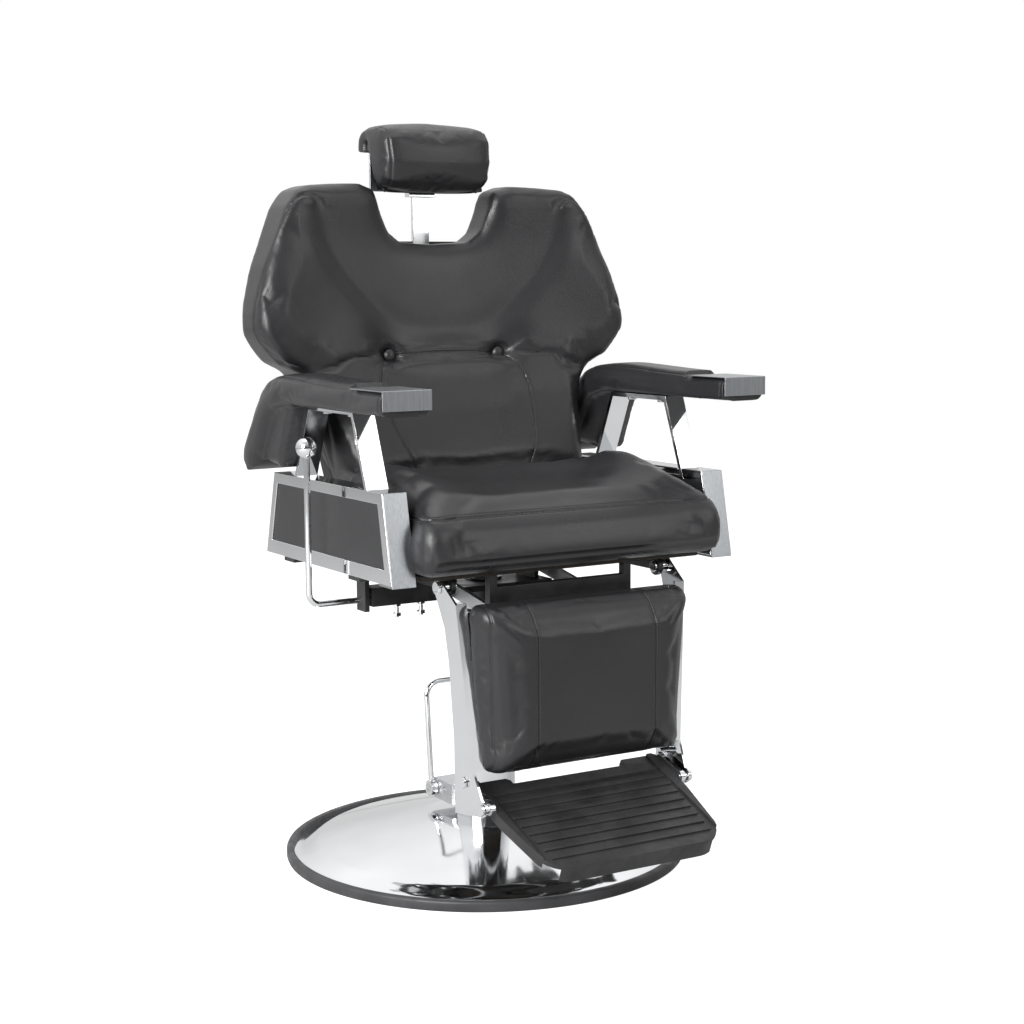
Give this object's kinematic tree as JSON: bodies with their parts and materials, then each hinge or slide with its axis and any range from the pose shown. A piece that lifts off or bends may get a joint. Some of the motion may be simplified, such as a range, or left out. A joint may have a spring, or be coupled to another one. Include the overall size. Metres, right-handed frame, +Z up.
{
  "type": "barber chair",
  "caption": "Hydraulic barber chair with a round base, foot pump, turning seat, reclining winged back coupled to the leg rest, folding footrest and sliding headrest.",
  "frame": {"origin": "centre of the round base at floor level, on the column's axis", "axes": "+Z up along the column; -Y the way the sitter faces; +X the sitter's left"},
  "size_m": [0.5665, 0.6423, 0.981],
  "materials": {
    "chrome_plate": "polished",
    "brushed_steel": "brushed",
    "zinc_steel": "zinc plated",
    "rim_rubber": "satin",
    "frame_black": "satin powder coat",
    "black_leatherette": "semi-gloss upholstery leather",
    "plywood": "matte",
    "footrest_black": "moulded, fine grain"
  },
  "bodies": {
    "base": {"base_dish": "chrome_plate", "base_rim": "rim_rubber", "pump_flange": "zinc_steel", "flange_bolts": "zinc_steel", "pump_column": "chrome_plate", "column_collar": "chrome_plate", "pump_boss": "zinc_steel"},
    "pedal": {"pedal_shaft": "chrome_plate", "pump_pedal": "chrome_plate"},
    "lift": {"piston": "chrome_plate", "piston_cap": "zinc_steel"},
    "seat": {"seat_mount": "frame_black", "seat_rails": "frame_black", "seat_bridge": "frame_black", "seat_outriggers": "frame_black", "front_crossbar": "frame_black", "seat_board": "plywood", "seat_cushion": "black_leatherette", "side_frame_left": "chrome_plate", "side_frame_right": "chrome_plate", "side_panel_left": "black_leatherette", "side_panel_right": "black_leatherette", "front_cover_left": "brushed_steel", "front_cover_right": "brushed_steel", "arm_upright_left": "chrome_plate", "arm_upright_right": "chrome_plate", "arm_screws": "chrome_plate", "arm_pad_left": "black_leatherette", "arm_pad_right": "black_leatherette", "arm_cap_left": "brushed_steel", "arm_cap_right": "brushed_steel", "lock_housing": "frame_black", "lock_bolts": "chrome_plate", "leg_hinge_pins": "chrome_plate"},
    "lever": {"recline_lever": "chrome_plate", "lever_ball": "chrome_plate"},
    "back": {"back_pins": "zinc_steel", "torque_tube": "frame_black", "back_arms": "frame_black", "back_crossbar": "frame_black", "back_board": "plywood", "back_cushion": "black_leatherette", "tuft_buttons": "black_leatherette", "headrest_socket": "frame_black"},
    "headrest": {"headrest_post": "chrome_plate", "headrest_plate": "brushed_steel", "headrest_pad": "black_leatherette"},
    "links": {"recline_links": "zinc_steel"},
    "leg_rest": {"leg_plate_left": "chrome_plate", "leg_plate_right": "chrome_plate", "leg_cross_tubes": "frame_black", "calf_board": "plywood", "calf_pad": "black_leatherette", "leg_bolts": "chrome_plate"},
    "footrest": {"footrest": "footrest_black", "footrest_lugs": "chrome_plate", "footrest_pins": "chrome_plate"}
  },
  "joints": [
    {"name": "seat_lift", "type": "slide", "parent": "base", "child": "lift", "axis": [0, 0, 1], "range_m": [0, 0.15]},
    {"name": "seat_swivel", "type": "hinge", "parent": "lift", "child": "seat", "pos_m": [0, 0, 0.36], "axis": [0, 0, 1], "continuous": true},
    {"name": "back_recline", "type": "hinge", "parent": "seat", "child": "back", "pos_m": [0, 0.1, 0.453], "axis": [-1, 0, 0], "range_deg": [0, 36]},
    {"name": "leg_raise", "type": "hinge", "parent": "seat", "child": "leg_rest", "pos_m": [0, -0.184, 0.401], "axis": [-1, 0, 0], "range_deg": [0, 36]},
    {"name": "link_swing", "type": "hinge", "parent": "back", "child": "links", "pos_m": [0, 0.12599, 0.41205], "axis": [-1, 0, 0], "range_deg": [-36, 0]},
    {"name": "footrest_fold", "type": "hinge", "parent": "leg_rest", "child": "footrest", "pos_m": [0, -0.256, 0.138], "axis": [-1, 0, 0], "range_deg": [0, 82]},
    {"name": "headrest_slide", "type": "slide", "parent": "back", "child": "headrest", "axis": [0, 0, 1], "range_m": [0, 0.09]},
    {"name": "lever_pull", "type": "hinge", "parent": "seat", "child": "lever", "pos_m": [-0.2, -0.042, 0.369], "axis": [1, 0, 0], "range_deg": [0, 22], "stiffness_Nm_per_rad": 3, "springref_deg": -17.19},
    {"name": "pedal_swing", "type": "hinge", "parent": "base", "child": "pedal", "pos_m": [0, 0.062, 0.078], "axis": [-1, 0, 0], "range_deg": [0, 40], "stiffness_Nm_per_rad": 3, "springref_deg": -17.19}
  ],
  "couplings": [
    {"joint": "leg_raise", "follows": "back_recline", "ratio": 1},
    {"joint": "link_swing", "follows": "back_recline", "ratio": -1}
  ]
}
